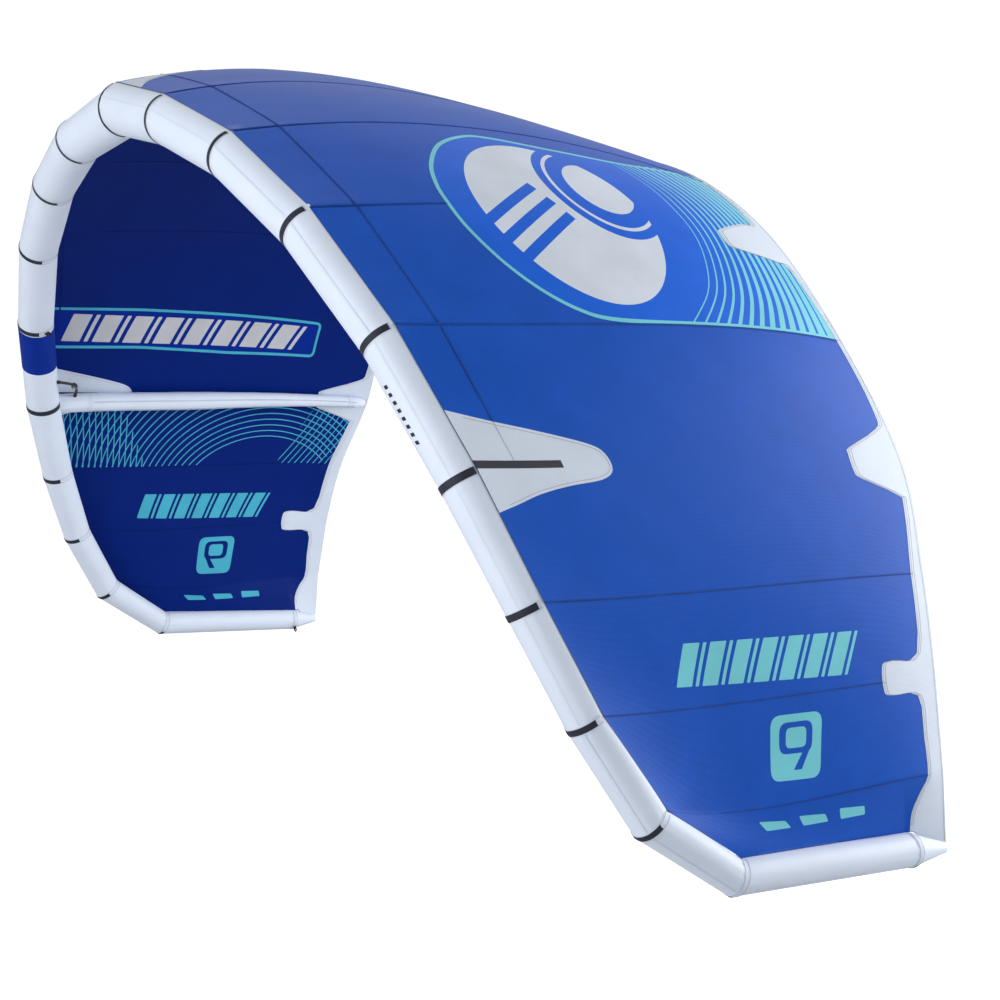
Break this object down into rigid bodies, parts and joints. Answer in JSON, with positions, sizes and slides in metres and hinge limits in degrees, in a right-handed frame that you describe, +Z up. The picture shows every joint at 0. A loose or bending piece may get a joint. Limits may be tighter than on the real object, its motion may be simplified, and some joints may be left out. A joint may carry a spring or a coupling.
{
  "type": "inflatable kite",
  "caption": "Arched single-skin kite on an inflated tube leading edge with inflated struts, inflation valve, hoses with pinch clips, and line tabs.",
  "frame": {"origin": "middle of the leading-edge tube, on its centre line", "axes": "+X to the kite's right tip, +Y from the leading edge to the trailing edge, +Z up"},
  "size_m": [3.8262, 1.8703, 2.1867],
  "materials": {
    "canopy_cloth": "blue ripstop polyester with printed light-blue and white graphics",
    "tube_casing": "white woven polyester sailcloth, satin",
    "bladder_film": "translucent film",
    "trailing_band": "white sewn reinforcement",
    "hose_rubber": "matte",
    "black_plastic": "moulded",
    "grey_plastic": "moulded",
    "webbing": "black woven webbing"
  },
  "bodies": {
    "wing": {"bridle_tab_left": "webbing", "bridle_tab_right": "webbing", "canopy_panel_left_1": "canopy_cloth", "canopy_panel_left_2": "canopy_cloth", "canopy_panel_left_3": "canopy_cloth", "canopy_panel_left_4": "canopy_cloth", "canopy_panel_left_5": "canopy_cloth", "canopy_panel_left_6": "canopy_cloth", "canopy_panel_left_7": "canopy_cloth", "canopy_panel_left_8": "canopy_cloth", "canopy_panel_left_9": "canopy_cloth", "canopy_panel_right_1": "canopy_cloth", "canopy_panel_right_2": "canopy_cloth", "canopy_panel_right_3": "canopy_cloth", "canopy_panel_right_4": "canopy_cloth", "canopy_panel_right_5": "canopy_cloth", "canopy_panel_right_6": "canopy_cloth", "canopy_panel_right_7": "canopy_cloth", "canopy_panel_right_8": "canopy_cloth", "canopy_panel_right_9": "canopy_cloth", "inflation_hose_centre": "hose_rubber", "inflation_hose_left": "hose_rubber", "inflation_hose_right": "hose_rubber", "inflation_valve_base": "grey_plastic", "leading_edge_bladder": "bladder_film", "leading_edge_casing_left_01": "tube_casing", "leading_edge_casing_left_02": "tube_casing", "leading_edge_casing_left_03": "tube_casing", "leading_edge_casing_left_04": "tube_casing", "leading_edge_casing_left_05": "tube_casing", "leading_edge_casing_left_06": "tube_casing", "leading_edge_casing_left_07": "tube_casing", "leading_edge_casing_left_08": "tube_casing", "leading_edge_casing_left_09": "tube_casing", "leading_edge_casing_left_10": "tube_casing", "leading_edge_casing_right_01": "tube_casing", "leading_edge_casing_right_02": "tube_casing", "leading_edge_casing_right_03": "tube_casing", "leading_edge_casing_right_04": "tube_casing", "leading_edge_casing_right_05": "tube_casing", "leading_edge_casing_right_06": "tube_casing", "leading_edge_casing_right_07": "tube_casing", "leading_edge_casing_right_08": "tube_casing", "leading_edge_casing_right_09": "tube_casing", "leading_edge_casing_right_10": "tube_casing", "strut_bladder_centre": "bladder_film", "strut_bladder_left": "bladder_film", "strut_bladder_right": "bladder_film", "strut_casing_centre": "tube_casing", "strut_casing_left": "tube_casing", "strut_casing_right": "tube_casing", "tip_line_tab_left": "webbing", "tip_line_tab_right": "webbing", "trailing_edge_band": "trailing_band"},
    "valve_cap": {"inflation_valve_cap": "grey_plastic"},
    "valve_cartridge": {"inflation_valve_cartridge": "black_plastic"},
    "clip_lever_centre": {"hose_clip_lever_centre": "grey_plastic"},
    "clip_lever_left": {"hose_clip_lever_left": "grey_plastic"},
    "clip_lever_right": {"hose_clip_lever_right": "grey_plastic"}
  },
  "joints": [
    {"name": "valve_cap_flip", "type": "hinge", "parent": "wing", "child": "valve_cap", "pos_m": [0.18422, 0.05437, -0.10479], "axis": [-0.9847, 0.0175, 0.1736], "range_deg": [0, 150]},
    {"name": "valve_cartridge_turn", "type": "hinge", "parent": "wing", "child": "valve_cartridge", "pos_m": [0.18844, 0.0569, -0.08113], "axis": [-0.0934, 0.7879, -0.6087], "range_deg": [0, 90]},
    {"name": "clip_lever_centre_open", "type": "hinge", "parent": "wing", "child": "clip_lever_centre", "pos_m": [0.10378, 0.12749, -0.02669], "axis": [-0.5295, -0.8468, 0.0519], "range_deg": [0, 80]},
    {"name": "clip_lever_right_open", "type": "hinge", "parent": "wing", "child": "clip_lever_right", "pos_m": [1.44925, 0.38096, -0.89755], "axis": [-0.5544, 0.7593, 0.3408], "range_deg": [0, 80]},
    {"name": "clip_lever_left_open", "type": "hinge", "parent": "wing", "child": "clip_lever_left", "pos_m": [-1.44925, 0.38096, -0.89755], "axis": [-0.5544, -0.7593, -0.3408], "range_deg": [0, 80]}
  ]
}
